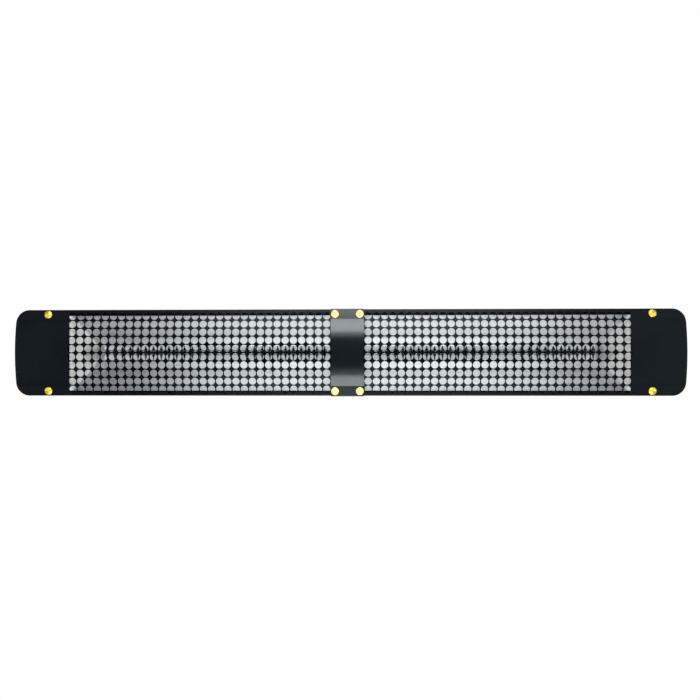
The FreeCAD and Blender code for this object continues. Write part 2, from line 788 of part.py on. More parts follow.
def lead(points):
    """A round sleeved lead along a route."""
    path = rounded_route(points, LEAD_BEND_R)
    first = V(*points[0])
    heading = V(*points[1]) - first
    section = Part.Wire(Part.makeCircle(LEAD_R, first, heading))
    return path.makePipeShell([section], True, True)


def lamp_leads():
    """The right-hand lamp's two leads, from its ceramic ends to the terminal block."""
    block_top = BLOCK_Z[1] + GAP
    inner = lead([(LEAD_X_INNER, LAMP_Y + CERAMIC_R + GAP, 0),
                  (LEAD_X_INNER, LEAD_Y, 0),
                  (LEAD_X_INNER, LEAD_Y, LEAD_ENTRY_Z),
                  (LEAD_X_INNER, LEAD_TOP_Y, LEAD_ENTRY_Z),
                  (LEAD_X_INNER, LEAD_TOP_Y, block_top)])
    outer = lead([(OUTER_CERAMIC_X[1] + GAP, LAMP_Y, 0),
                  (LEAD_OUT_X, LAMP_Y, 0),
                  (LEAD_OUT_X, LEAD_Y, 0),
                  (LEAD_X_OUTER, LEAD_Y, 0),
                  (LEAD_X_OUTER, LEAD_Y, LEAD_ENTRY_Z),
                  (LEAD_X_OUTER, LEAD_TOP_Y, LEAD_ENTRY_Z),
                  (LEAD_X_OUTER, LEAD_TOP_Y, block_top)])
    return group([inner, outer])


def lead_grommets():
    """Insulating bushes where the leads enter the terminal box."""
    y = (BACK_Y - WALL_T - GROMMET_FLANGE_T - GAP, box_floor() + BOX_T + GROMMET_FLANGE_T + GAP)
    bushes = []
    for x in (LEAD_X_INNER, LEAD_X_OUTER):
        z = LEAD_ENTRY_Z
        bush = rod((x, y[0], z), (x, y[1], z), GROMMET_R)
        for flange in ((y[0], y[0] + GROMMET_FLANGE_T), (y[1] - GROMMET_FLANGE_T, y[1])):
            bush = bush.fuse(rod((x, flange[0], z), (x, flange[1], z), GROMMET_FLANGE_R))
        bore = rod((x, y[0] - 1, z), (x, y[1] + 1, z), LEAD_R + 2 * GAP)
        bushes += both_sides(bush.removeSplitter().cut(bore))
    return group(bushes)


# Terminal box

def box_floor():
    return BACK_Y + GAP


def terminal_box():
    """The five-sided box on the housing's back."""
    floor = box_floor()
    outer = box((-BOX_X, BOX_X), (floor, BOX_OPEN_Y), (-BOX_Z, BOX_Z))
    inner = box((-BOX_X + BOX_T, BOX_X - BOX_T), (floor + BOX_T, BOX_OPEN_Y + 1),
                (-BOX_Z + BOX_T, BOX_Z - BOX_T))
    shell = outer.cut(inner).cut(lead_holes((floor - 1, floor + 3), GROMMET_R + SEAT_GAP))
    return shell.cut(rod(gland_axis(BOX_Z - 3), gland_axis(BOX_Z + 1), GLAND_THREAD_R + GAP))


def post_places():
    return [(sx * POST_X, sz * POST_Z) for sx in (1, -1) for sz in (1, -1)]


def cover_posts():
    """Threaded pillars that the box's cover screws into."""
    y = (box_floor() + BOX_T + SEAT_GAP, BOX_OPEN_Y - GAP)
    return group([tube((x, y[0], z), (x, y[1], z), POST_R, COVER_SCREW_R + GAP)
                  for x, z in post_places()])


def box_gasket():
    """The gasket between the box's rim and its cover."""
    y = (BOX_OPEN_Y + SEAT_GAP, BOX_OPEN_Y + GASKET_T)
    outer = box((-BOX_X, BOX_X), y, (-BOX_Z, BOX_Z))
    inner = box((-BOX_X + GASKET_W, BOX_X - GASKET_W), (y[0] - 1, y[1] + 1),
                (-BOX_Z + GASKET_W, BOX_Z - GASKET_W))
    gasket = outer.cut(inner)
    for x, z in post_places():
        pad = rod((x, y[0], z), (x, y[1], z), POST_R + 1)
        gasket = gasket.fuse(pad)
    gasket = gasket.removeSplitter()
    for x, z in post_places():
        gasket = gasket.cut(rod((x, y[0] - 1, z), (x, y[1] + 1, z), COVER_SCREW_R + HOLE_GAP))
    return gasket


def cover_plate_y():
    start = BOX_OPEN_Y + GASKET_T + SEAT_GAP
    return (start, start + COVER_PLATE_T)


def box_cover():
    """The flat cover of the terminal box."""
    y = cover_plate_y()
    half_x = BOX_X + COVER_OVERHANG
    half_z = BOX_Z + COVER_OVERHANG
    plate = box((-half_x, half_x), y, (-half_z, half_z))
    upright = [edge for edge in plate.Edges
               if abs(edge.Vertexes[0].Y - edge.Vertexes[-1].Y) > COVER_PLATE_T / 2]
    plate = plate.makeFillet(COVER_CORNER_R, upright)
    for x, z in post_places():
        plate = plate.cut(rod((x, y[0] - 1, z), (x, y[1] + 1, z), COVER_SCREW_R + HOLE_GAP))
    return plate


def driver_slot(x, top, z, radius):
    """The cutter of a slot across a screw's head."""
    return box((x - radius - 1, x + radius + 1), (top - SLOT_DEPTH, top + 1),
               (z - SLOT_HALF, z + SLOT_HALF))


def cover_fixings():
    """The four pan-head screws of the box's cover."""
    seat = cover_plate_y()[1] + SEAT_GAP
    screws = []
    for x, z in post_places():
        head = Part.makeCone(*COVER_HEAD_R, COVER_HEAD_H, V(x, seat, z), V(0, 1, 0))
        shank = rod((x, BOX_OPEN_Y - COVER_SCREW_LENGTH, z), (x, seat, z), COVER_SCREW_R)
        screw = head.fuse(shank).removeSplitter()
        screws.append(screw.cut(driver_slot(x, seat + COVER_HEAD_H, z, COVER_HEAD_R[0])))
    return group(screws)


def terminal_block():
    """The ceramic block with a well over each clamping screw."""
    block = box((-BLOCK_X, BLOCK_X), BLOCK_Y, BLOCK_Z)
    middle = sum(BLOCK_Z) / 2
    for x in TERMINAL_X:
        well_y = (BLOCK_Y[1] - WELL_DEPTH, BLOCK_Y[1] + 1)
        block = block.cut(rod((x, well_y[0], middle), (x, well_y[1], middle), WELL_R))
    for left, right in zip(TERMINAL_X, TERMINAL_X[1:]):
        centre = (left + right) / 2
        groove = box((centre - GROOVE_HALF, centre + GROOVE_HALF),
                     (BLOCK_Y[1] - GROOVE_DEPTH, BLOCK_Y[1] + 1), (BLOCK_Z[0] - 1, BLOCK_Z[1] + 1))
        block = block.cut(groove)
    return block


def terminal_screws():
    """The brass clamping screws in the block's wells."""
    middle = sum(BLOCK_Z) / 2
    bottom = BLOCK_Y[1] - WELL_DEPTH + GAP
    top = bottom + TERMINAL_SCREW_LENGTH
    screws = []
    for x in TERMINAL_X:
        screw = rod((x, bottom, middle), (x, top, middle), TERMINAL_SCREW_R)
        screws.append(screw.cut(driver_slot(x, top, middle, TERMINAL_SCREW_R)))
    return group(screws)


def earth_stud():
    """The earth stud on the box's floor, with its nut."""
    y = box_floor() + BOX_T + SEAT_GAP
    stud = rod((EARTH_X, y, 0), (EARTH_X, y + EARTH_LENGTH, 0), EARTH_R)
    nut_y = [y + above for above in EARTH_NUT_Y]
    nut = hexagon((EARTH_X, nut_y[0], 0), (EARTH_X, nut_y[1], 0), EARTH_NUT_HEX)
    return stud.fuse(nut).removeSplitter()


# Cable gland

def gland_axis(below):
    """The point on the gland's axis at a distance below the box's centre."""
    return (GLAND_X, GLAND_Y, -below)


def gland_body():
    """The gland's hexagon and the threads on both sides of it."""
    seat = BOX_Z + SEAT_GAP
    hex_end = seat + GLAND_HEX_T
    end = hex_end + GLAND_FRONT_LENGTH
    thread = rod(gland_axis(BOX_Z - GLAND_THREAD_LENGTH), gland_axis(seat + 1), GLAND_THREAD_R)
    hexagonal = hexagon(gland_axis(seat), gland_axis(hex_end), GLAND_HEX)
    front = rod(gland_axis(hex_end), gland_axis(end), GLAND_THREAD_R)
    body = thread.fuse(hexagonal).fuse(front).removeSplitter()
    bore = rod(gland_axis(BOX_Z - GLAND_THREAD_LENGTH - 1), gland_axis(end + 1), GLAND_BORE_R)
    return body.cut(bore)


def seal_start():
    return BOX_Z + GLAND_HEX_T + GLAND_FRONT_LENGTH + 2 * GAP


def gland_seal():
    """The rubber sleeve that grips the cable."""
    end = seal_start() + SEAL_LENGTH
    return tube(gland_axis(seal_start()), gland_axis(end), SEAL_R, SEAL_BORE_R)


def gland_cap():
    """The gland's domed cap nut."""
    start = BOX_Z + GLAND_HEX_T + 2 * GAP
    hex_end = start + CAP_HEX_T
    hexagonal = hexagon(gland_axis(start), gland_axis(hex_end), GLAND_HEX)
    nose = Part.makeCone(GLAND_HEX / 2, CAP_NOSE_R, CAP_NOSE, V(*gland_axis(hex_end)), V(0, 0, -1))
    cap = hexagonal.fuse(nose).removeSplitter()
    chamber_end = seal_start() + SEAL_LENGTH + 2 * GAP
    cap = cap.cut(rod(gland_axis(start - 1), gland_axis(chamber_end), GLAND_THREAD_R + GAP))
    return cap.cut(rod(gland_axis(start), gland_axis(hex_end + CAP_NOSE + 1), GLAND_BORE_R))


def gland_lock_nut():
    """The lock nut inside the box."""
    seat = BOX_Z - BOX_T - SEAT_GAP
    nut = hexagon(gland_axis(seat - GLAND_NUT_T), gland_axis(seat), GLAND_NUT_HEX)
    bore = rod(gland_axis(seat - GLAND_NUT_T - 1), gland_axis(seat + 1), GLAND_THREAD_R + SEAT_GAP)
    return nut.cut(bore)


# Tilt mechanism

def ear(x, base_y, base_z, radius):
    """A plate in the YZ plane from a straight base to a round end about the pivot."""
    round_end = rod((x[0], PIVOT_Y, 0), (x[1], PIVOT_Y, 0), radius)
    away = base_y - PIVOT_Y
    spread = math.acos(radius / math.hypot(away, base_z))
    angle = math.atan2(base_z, away) + math.copysign(spread, away)
    touch = (PIVOT_Y + radius * math.cos(angle), radius * math.sin(angle))
    web = along_x([(base_y, base_z), touch, (touch[0], -touch[1]), (base_y, -base_z)], x)
    return round_end.fuse(web).removeSplitter()


def arc_slot(x):
    """The cutter of the slot that the lock bolt runs in."""
    half = math.radians(TILT_LIMIT + SLOT_SPARE)
    slot_r = LOCK_R + HOLE_GAP
    outer = rod((x[0], PIVOT_Y, 0), (x[1], PIVOT_Y, 0), LOCK_RADIUS + slot_r)
    inner = rod((x[0], PIVOT_Y, 0), (x[1], PIVOT_Y, 0), LOCK_RADIUS - slot_r)
    far = 60.0
    wedge = along_x([(PIVOT_Y, 0), (PIVOT_Y - far * math.sin(half), far * math.cos(half)),
                     (PIVOT_Y + far * math.sin(half), far * math.cos(half))], x)
    slot = outer.cut(inner).common(wedge)
    for side in (1, -1):
        y = PIVOT_Y + side * LOCK_RADIUS * math.sin(half)
        z = LOCK_RADIUS * math.cos(half)
        slot = slot.fuse(rod((x[0], y, z), (x[1], y, z), slot_r))
    return slot.removeSplitter()


def wall_bracket():
    """The right-hand bracket that is screwed to the wall."""
    plate = box((WALL_PLATE_X, WALL_EAR_X[1]), (-PLATE_T, 0), (-WALL_PLATE_Z, WALL_PLATE_Z))
    arm = ear(WALL_EAR_X, -PLATE_T / 2, WALL_EAR_Z, WALL_EAR_R)
    bracket = plate.fuse(arm).removeSplitter()
    cut_x = (WALL_EAR_X[0] - 1, WALL_EAR_X[1] + 1)
    bracket = bracket.cut(arc_slot(cut_x))
    bracket = bracket.cut(rod((cut_x[0], PIVOT_Y, 0), (cut_x[1], PIVOT_Y, 0),
                              PIVOT_R + SEAT_GAP))
    for z in (WALL_HOLE_Z, -WALL_HOLE_Z):
        bracket = bracket.cut(rod((WALL_HOLE_X, -PLATE_T - 1, z), (WALL_HOLE_X, 1, z), WALL_HOLE_R))
    return bracket


def tilt_bracket():
    """The right-hand bracket on the housing's back that turns with the heater."""
    foot_y = BACK_Y + GAP
    foot = box((TILT_EAR_X[0], FOOT_X), (foot_y, foot_y + PLATE_T), (-FOOT_Z, FOOT_Z))
    arm = ear(TILT_EAR_X, foot_y + PLATE_T / 2, FOOT_Z, TILT_EAR_R)
    bracket = foot.fuse(arm).removeSplitter()
    cut_x = (TILT_EAR_X[0] - 1, TILT_EAR_X[1] + 1)
    bracket = bracket.cut(rod((cut_x[0], PIVOT_Y, 0), (cut_x[1], PIVOT_Y, 0),
                              PIVOT_R + SEAT_GAP))
    bracket = bracket.cut(rod((cut_x[0], PIVOT_Y, LOCK_RADIUS), (cut_x[1], PIVOT_Y, LOCK_RADIUS),
                              LOCK_R + GAP))
    for z in (FOOT_BOLT_Z, -FOOT_BOLT_Z):
        bracket = bracket.cut(rod((FOOT_BOLT_X, foot_y - 1, z), (FOOT_BOLT_X, foot_y + 4, z),
                                  SCREW_R + GAP))
    return bracket


def cross_bolt(z, radius, flats, head_h):
    """A right-hand hex bolt across both ears, with its head on the outer side."""
    head_x = TILT_EAR_X[1] + GAP
    tail_x = WALL_EAR_X[0] - head_h - BOLT_TAIL
    head = hexagon((head_x, PIVOT_Y, z), (head_x + head_h, PIVOT_Y, z), flats)
    return head.fuse(rod((tail_x, PIVOT_Y, z), (head_x, PIVOT_Y, z), radius)).removeSplitter()


def cross_nut(z, radius, flats, height, washer_t):
    """The nut on the inner side of a cross bolt."""
    x = WALL_EAR_X[0] - GAP - washer_t - SEAT_GAP
    nut = hexagon((x - height, PIVOT_Y, z), (x, PIVOT_Y, z), flats)
    return nut.cut(rod((x - height - 1, PIVOT_Y, z), (x + 1, PIVOT_Y, z), radius + SEAT_GAP))


def cross_washer(x, z, radius, outer):
    """A washer on a cross bolt between two X values."""
    return tube((x[0], PIVOT_Y, z), (x[1], PIVOT_Y, z), outer, radius + GAP)


def backing_plate():
    """The plate inside the housing behind a tilt bracket."""
    y = (BACK_Y - WALL_T - GAP - BACKING_T, BACK_Y - WALL_T - GAP)
    plate = box((FOOT_BOLT_X - BACKING_HALF_X, FOOT_BOLT_X + BACKING_HALF_X), y, (-FOOT_Z, FOOT_Z))
    for z in (FOOT_BOLT_Z, -FOOT_BOLT_Z):
        plate = plate.cut(rod((FOOT_BOLT_X, y[0] - 1, z), (FOOT_BOLT_X, y[1] + 1, z), SCREW_R + GAP))
    return plate


def foot_bolts():
    """The bolts that hold the tilt brackets to the housing."""
    seat = BACK_Y + GAP + PLATE_T + SEAT_GAP
    bolts = []
    for x, z in foot_bolt_places():
        head = hexagon((x, seat, z), (x, seat + SMALL_HEAD_H, z), SMALL_HEX)
        shank = rod((x, BACK_Y - FOOT_BOLT_LENGTH, z), (x, seat, z), SCREW_R)
        bolts.append(head.fuse(shank).removeSplitter())
    return group(bolts)


def foot_nuts():
    """The nuts inside the housing."""
    y = BACK_Y - WALL_T - GAP - BACKING_T - SEAT_GAP
    nuts = []
    for x, z in foot_bolt_places():
        start = y - SMALL_NUT_H
        nut = hexagon((x, start, z), (x, y, z), SMALL_HEX)
        nuts.append(nut.cut(rod((x, start - 1, z), (x, y + 1, z), SCREW_R + SEAT_GAP)))
    return group(nuts)


def save_pair(node, shape):
    """Writes the left-hand and right-hand copies of a piece."""
    save(node + "_left", mirrored(shape))
    save(node + "_right", shape)


def main():
    os.makedirs("parts", exist_ok=True)

    save_pair("front_cover", front_cover())
    save("centre_strap", centre_strap())
    save("cover_screws", cover_screws())
    save("screw_inserts", screw_inserts())

    save("housing_trough", housing_trough())
    save_pair("end_cap", end_cap())
    save("cap_rivets", cap_rivets())

    save_pair("reflector", reflector())
    save_pair("reflector_outer_end", reflector_outer_end())
    save_pair("reflector_inner_end", reflector_inner_end())

    save_pair("lamp_tube", lamp_tube())
    save_pair("lamp_filament", lamp_filament())
    save("lamp_ceramics", lamp_ceramics())
    save_pair("lamp_support", lamp_support())
    save_pair("lamp_holder", outer_holder())
    save("lamp_holder_centre", centre_holder())
    save_pair("lamp_leads", lamp_leads())
    save("lead_grommets", lead_grommets())
    save("heat_shield", heat_shield())
    save("shield_standoffs", shield_standoffs())

    save("terminal_box", terminal_box())
    save("cover_posts", cover_posts())
    save("box_gasket", box_gasket())
    save("box_cover", box_cover())
    save("box_cover_screws", cover_fixings())
    save("terminal_block", terminal_block())
    save("terminal_screws", terminal_screws())
    save("earth_stud", earth_stud())
    save("gland_body", gland_body())
    save("gland_seal", gland_seal())
    save("gland_cap_nut", gland_cap())
    save("gland_lock_nut", gland_lock_nut())

    save_pair("wall_bracket", wall_bracket())
    save_pair("tilt_bracket", tilt_bracket())
    save("backing_plates", group(both_sides(backing_plate())))
    save("bracket_bolts", foot_bolts())
    save("bracket_nuts", foot_nuts())

    washer_x = (WALL_EAR_X[1] + GAP, TILT_EAR_X[0] - GAP)
    pivot_washer = cross_washer(washer_x, 0, PIVOT_R, PIVOT_WASHER_R)
    pivot_bolt = cross_bolt(0, PIVOT_R, PIVOT_HEX, PIVOT_HEAD_H)
    pivot_nut = cross_nut(0, PIVOT_R, PIVOT_HEX, PIVOT_NUT_H, 0)
    save("pivot_bolts", group(both_sides(pivot_bolt)))
    save("pivot_nuts", group(both_sides(pivot_nut)))
    save("pivot_washers", group(both_sides(pivot_washer)))

    washer_x = (WALL_EAR_X[0] - GAP - LOCK_WASHER_T, WALL_EAR_X[0] - GAP)
    lock_washer = cross_washer(washer_x, LOCK_RADIUS, LOCK_R, LOCK_WASHER_R)
    lock_bolt = cross_bolt(LOCK_RADIUS, LOCK_R, SMALL_HEX, SMALL_HEAD_H)
    lock_nut = cross_nut(LOCK_RADIUS, LOCK_R, SMALL_HEX, SMALL_NUT_H, LOCK_WASHER_T)
    save("lock_bolts", group(both_sides(lock_bolt)))
    save("lock_nuts", group(both_sides(lock_nut)))
    save("lock_washers", group(both_sides(lock_washer)))


main()
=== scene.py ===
"""Materials, wound lamp coils and studio for the twin-bay infrared strip heater.

Metres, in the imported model's frame: +X along the heater, the front faces -Y, +Z is up.
"""

import json
import math

import bmesh
import bpy
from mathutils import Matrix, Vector


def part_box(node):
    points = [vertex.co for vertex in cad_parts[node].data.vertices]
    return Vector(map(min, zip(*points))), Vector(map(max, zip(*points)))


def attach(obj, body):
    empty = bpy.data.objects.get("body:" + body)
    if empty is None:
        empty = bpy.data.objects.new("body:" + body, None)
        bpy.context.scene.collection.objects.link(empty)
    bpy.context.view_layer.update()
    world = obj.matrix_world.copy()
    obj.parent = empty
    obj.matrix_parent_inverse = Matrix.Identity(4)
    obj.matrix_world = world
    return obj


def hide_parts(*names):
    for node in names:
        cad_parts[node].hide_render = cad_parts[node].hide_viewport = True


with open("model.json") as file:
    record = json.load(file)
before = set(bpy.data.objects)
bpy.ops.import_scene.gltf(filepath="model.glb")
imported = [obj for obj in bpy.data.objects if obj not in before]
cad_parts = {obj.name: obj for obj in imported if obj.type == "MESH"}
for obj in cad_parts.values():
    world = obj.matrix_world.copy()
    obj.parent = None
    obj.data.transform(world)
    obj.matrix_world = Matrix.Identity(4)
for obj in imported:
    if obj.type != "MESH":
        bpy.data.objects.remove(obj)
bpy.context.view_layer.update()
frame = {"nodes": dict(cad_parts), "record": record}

MM = 0.001

# Where the finishes change
POLISHED_MID_Z = -1.2 * MM  # the reflectors sit slightly below the heater's centre
POLISHED_HALF_Z = 16.8 * MM  # half-height of the reflectors' polished back
POLISHED_FADE_Z = 0.3 * MM  # its edge is soft for this far each way
HAZE_INNER_Z = (32.0 * MM, 42.0 * MM)  # a duller band runs along the reflectors' sides
HAZE_OUTER_Z = (50.0 * MM, 64.0 * MM)
HAZE_AT_BACK = 0.35  # the band's dullness that the sides keep next to the back
GOLD_SHADE_X = (0.3, 0.6)  # the gold screws are painted darker towards the heater's ends, as painted shade where less light falls
LIP_SHADE_Y = (-156.0 * MM, -152.0 * MM)  # in front of this the housing's paint turns matt, and its colour is painted shade, near black

# Noise values bunch round 0.5, so these are the ranges that are stretched to a full one
WIDE = (0.3, 0.7)
NARROW = (0.35, 0.65)
PATCHY = (0.35, 0.7)
SPARSE = (0.4, 0.7)

# A Mix node's sockets for its two values and its result
MIX_SOCKETS = {"RGBA": (6, 7, 2), "FLOAT": (2, 3, 0)}


class Surface:
    """A Principled material while its nodes are being put together."""

    def __init__(self, name, **settings):
        self.material = bpy.data.materials.new(name)
        self.material.use_nodes = True
        self.tree = self.material.node_tree
        self.shader = self.tree.nodes["Principled BSDF"]
        for key, value in settings.items():
            self.shader.inputs[key.replace("_", " ")].default_value = value

    def node(self, kind, **settings):
        made = self.tree.nodes.new("ShaderNode" + kind)
        for key, value in settings.items():
            setattr(made, key, value)
        return made

    def link(self, source, target):
        self.tree.links.new(source, target)

    def feed(self, value, target):
        """Gives a socket another socket's value, a colour or a number."""
        if isinstance(value, bpy.types.NodeSocket):
            self.link(value, target)
        elif isinstance(value, tuple):
            target.default_value = (*value, 1.0)
        else:
            target.default_value = value

    def place(self, stretch=(1, 1, 1)):
        """Object coordinates in metres, scaled along each axis."""
        coordinates = self.node("TexCoord").outputs["Object"]
        mapping = self.node("Mapping")
        mapping.inputs["Scale"].default_value = stretch
        self.link(coordinates, mapping.inputs["Vector"])
        return mapping.outputs["Vector"]

    def axis(self, letter):
        """One object coordinate in metres."""
        axes = self.node("SeparateXYZ")
        self.link(self.place(), axes.inputs["Vector"])
        return axes.outputs[letter]

    def noise(self, scale, detail=2.0, roughness=0.5, stretch=(1, 1, 1)):
        """Noise with about scale cells to a metre, drawn out along an axis with a small stretch."""
        noise = self.node("TexNoise")
        noise.inputs["Scale"].default_value = scale
        noise.inputs["Detail"].default_value = detail
        noise.inputs["Roughness"].default_value = roughness
        self.link(self.place(stretch), noise.inputs["Vector"])
        return noise.outputs["Fac"]

    def cells(self, scale, stretch=(1, 1, 1)):
        """Distance to the middle of the nearest of about scale cells to a metre."""
        cells = self.node("TexVoronoi")
        cells.inputs["Scale"].default_value = scale
        self.link(self.place(stretch), cells.inputs["Vector"])
        return cells.outputs["Distance"]

    def remap(self, value, low, high, source=(0.0, 1.0)):
        """A value in the source range, moved to run from low to high and kept there."""
        remap = self.node("MapRange")
        remap.inputs["From Min"].default_value = source[0]
        remap.inputs["From Max"].default_value = source[1]
        remap.inputs["To Min"].default_value = low
        remap.inputs["To Max"].default_value = high
        self.link(value, remap.inputs["Value"])
        return remap.outputs["Result"]

    def patches(self, scale, detail, roughness=0.5, source=NARROW):
        """Soft patches of noise, as a factor from 0 to 1."""
        return self.remap(self.noise(scale, detail, roughness), 0.0, 1.0, source)

    def calculate(self, operation, first, second=0.0):
        """A Math node's result for a socket and a number or another socket."""
        step = self.node("Math", operation=operation)
        self.link(first, step.inputs[0])
        self.feed(second, step.inputs[1])
        return step.outputs[0]

    def blend(self, factor, first, second, kind="RGBA"):
        """A colour between two others, or a number where kind is FLOAT. Both can be sockets."""
        first_at, second_at, result_at = MIX_SOCKETS[kind]
        mix = self.node("Mix", data_type=kind)
        self.link(factor, mix.inputs[0])
        self.feed(first, mix.inputs[first_at])
        self.feed(second, mix.inputs[second_at])
        return mix.outputs[result_at]

    def color(self, socket):
        self.link(socket, self.shader.inputs["Base Color"])

    def roughness(self, socket):
        self.link(socket, self.shader.inputs["Roughness"])

    def uneven_gloss(self, low, high, *noise_settings):
        """Roughness that wanders between two values as noise does."""
        self.roughness(self.remap(self.noise(*noise_settings), low, high, WIDE))

    def source(self, name):
        """The socket that feeds one of the shader's inputs so far."""
        return self.shader.inputs[name].links[0].from_socket

    def bump(self, height, depth):
        """Adds relief of a real depth in metres on top of any relief so far."""
        bump = self.node("Bump")
        bump.inputs["Strength"].default_value = 1.0
        bump.inputs["Distance"].default_value = depth
        self.link(height, bump.inputs["Height"])
        if self.shader.inputs["Normal"].is_linked:
            self.link(self.source("Normal"), bump.inputs["Normal"])
        self.link(bump.outputs["Normal"], self.shader.inputs["Normal"])


# Materials, one for each slot of the record. Noise is given as scale, detail and roughness.

COAT_PALER = 1.2  # how much paler than its colour a powder coat's patches are
COAT_SPECK = 2.2  # and its specks
COAT_SPECK_SOURCE = (0.55, 0.8)
COAT_SPECK_STRENGTH = 0.5
COAT_GRAIN = 0.15  # the fine grain's depth as a part of the orange peel's
# Painted shade on the housing's front lips: a near-black colour; the lips are also made matt
PAINTED_LIP_SHADE_COLOR = (0.0012, 0.0012, 0.0012)
LIP_MATT_ROUGHNESS = 0.9


def paler(color, gain):
    """A colour made lighter."""
    return tuple(gain * channel for channel in color)


def powder_coat(name, color, gloss, peel, ior):
    """Sprayed and baked paint: orange peel, a fine grain and slightly uneven gloss."""
    paint = Surface(name, Metallic=0.0, IOR=ior)
    base = paint.blend(paint.patches(9.0, 4.0, 0.6, PATCHY), color, paler(color, COAT_PALER))
    specks = paint.patches(2600.0, 1.0, source=COAT_SPECK_SOURCE)
    specks = paint.remap(specks, 0.0, COAT_SPECK_STRENGTH)
    paint.color(paint.blend(specks, base, paler(color, COAT_SPECK)))
    paint.uneven_gloss(*gloss, 35.0, 5.0, 0.6)
    paint.bump(paint.noise(420.0, 2.0, 0.4), peel)
    paint.bump(paint.noise(2200.0, 1.0), COAT_GRAIN * peel)
    return paint


def cover_paint():
    return powder_coat("cover_powder_coat", color=(0.0056, 0.0063, 0.0074), gloss=(0.26, 0.31),
                       peel=0.02 * MM, ior=1.25)


def strap_paint():
    return powder_coat("strap_powder_coat", color=(0.0030, 0.0045, 0.0060), gloss=(0.12, 0.16),
                       peel=0.010 * MM, ior=1.50)


def housing_paint():
    """Black housing paint, matt on the front lips, where its colour is painted shade: near black.
    """
    paint = powder_coat("housing_powder_coat", color=(0.011, 0.012, 0.014), gloss=(0.42, 0.54),
                        peel=0.06 * MM, ior=1.42)
    # Painted shade: the front lips are painted near black, and made matt
    painted_lip_shade = paint.remap(paint.axis("Y"), 1.0, 0.0, LIP_SHADE_Y)
    paint.color(paint.blend(painted_lip_shade, paint.source("Base Color"), PAINTED_LIP_SHADE_COLOR))
    paint.roughness(paint.blend(painted_lip_shade, paint.source("Roughness"), LIP_MATT_ROUGHNESS, "FLOAT"))
    return paint


def bracket_paint():
    return powder_coat("bracket_powder_coat", color=(0.022, 0.023, 0.026), gloss=(0.38, 0.50),
                       peel=0.08 * MM, ior=1.50)


def gold_screw():
    """Satin gold plating, painted darker towards the heater's ends as painted shade."""
    gold = Surface("gold_plating", Metallic=1.0)
    tone = gold.patches(260.0, 3.0)
    bright = gold.blend(tone, (1.0, 0.71, 0.23), (1.0, 0.79, 0.31))
    # Painted shade: a darker gold for the screws towards the ends, where less light falls
    shaded_gold = gold.blend(tone, (0.68, 0.42, 0.07), (0.77, 0.52, 0.11))
    from_centre = gold.calculate("ABSOLUTE", gold.axis("X"))
    gold.color(gold.blend(gold.remap(from_centre, 0.0, 1.0, GOLD_SHADE_X), bright, shaded_gold))
    gold.uneven_gloss(0.40, 0.48, 900.0, 3.0)
    gold.bump(gold.noise(1500.0), 0.004 * MM)
    return gold


def zinc_steel():
    """Zinc plating with its mottled, faintly blue and yellow tone."""
    bluish, yellowish = (0.50, 0.53, 0.58), (0.66, 0.64, 0.58)
    zinc = Surface("zinc_plated_steel", Metallic=1.0)
    zinc.color(zinc.blend(zinc.patches(140.0, 5.0, 0.65), bluish, yellowish))
    zinc.uneven_gloss(0.24, 0.44, 600.0, 4.0)
    zinc.bump(zinc.noise(1800.0), 0.012 * MM)
    return zinc


def bright_aluminium():
    """Rolled reflector sheet: satin sides, and a polished strip along the back behind the lamp."""
    sheet = Surface("bright_reflector_aluminium", Metallic=0.98)
    grain = sheet.noise(900.0, 3.0, 0.6, stretch=(0.02, 1.0, 1.0))
    streak = sheet.remap(grain, 0.0, 1.0, WIDE)
    from_middle = sheet.calculate("SUBTRACT", sheet.axis("Z"), POLISHED_MID_Z)
    height = sheet.calculate("ABSOLUTE", from_middle)
    edge = (POLISHED_HALF_Z - POLISHED_FADE_Z, POLISHED_HALF_Z + POLISHED_FADE_Z)
    satin = sheet.remap(height, 0.0, 1.0, edge)
    haze = sheet.calculate("MULTIPLY", sheet.remap(height, HAZE_AT_BACK, 1.0, HAZE_INNER_Z),
                           sheet.remap(height, 1.0, 0.0, HAZE_OUTER_Z))
    polished = sheet.blend(streak, (0.89, 0.92, 0.90), (0.94, 0.97, 0.95))
    clean = sheet.blend(streak, (0.62, 0.61, 0.605), (0.70, 0.69, 0.685))
    hazed = sheet.blend(streak, (0.52, 0.515, 0.51), (0.59, 0.58, 0.575))
    sheet.color(sheet.blend(satin, polished, sheet.blend(haze, clean, hazed)))
    polished_roughness = sheet.remap(grain, 0.03, 0.06, WIDE)
    satin_roughness = sheet.remap(grain, 0.26, 0.34, WIDE)
    sheet.roughness(sheet.blend(satin, polished_roughness, satin_roughness, "FLOAT"))
    return sheet


def end_wall_aluminium():
    """Satin sheet, slightly warm in tone from the heat."""
    clean, stained = (0.76, 0.75, 0.72), (0.63, 0.60, 0.56)
    upright = (1.0, 1.0, 0.05)
    sheet = Surface("satin_end_wall_aluminium", Metallic=0.55)
    sheet.color(sheet.blend(sheet.patches(45.0, 4.0, 0.6, PATCHY), clean, stained))
    sheet.uneven_gloss(0.42, 0.56, 500.0, 4.0, 0.6, upright)
    sheet.bump(sheet.noise(700.0, stretch=upright), 0.006 * MM)
    return sheet


def quartz():
    """Clear thin-walled fused quartz, drawn along X: it hardly bends light, and has a gloss."""
    glass = Surface("clear_quartz", Transmission_Weight=1.0, IOR=1.01, Coat_Weight=0.03,
                    Coat_IOR=1.46, Coat_Roughness=0.03)
    streak = glass.noise(300.0, 3.0, stretch=(0.01, 1.0, 1.0))
    glass.color(glass.blend(glass.remap(streak, 0.0, 1.0, WIDE), (0.97, 0.98, 0.99),
                            (0.93, 0.95, 0.97)))
    glass.roughness(glass.remap(streak, 0.0, 0.03, (0.45, 0.75)))
    return glass


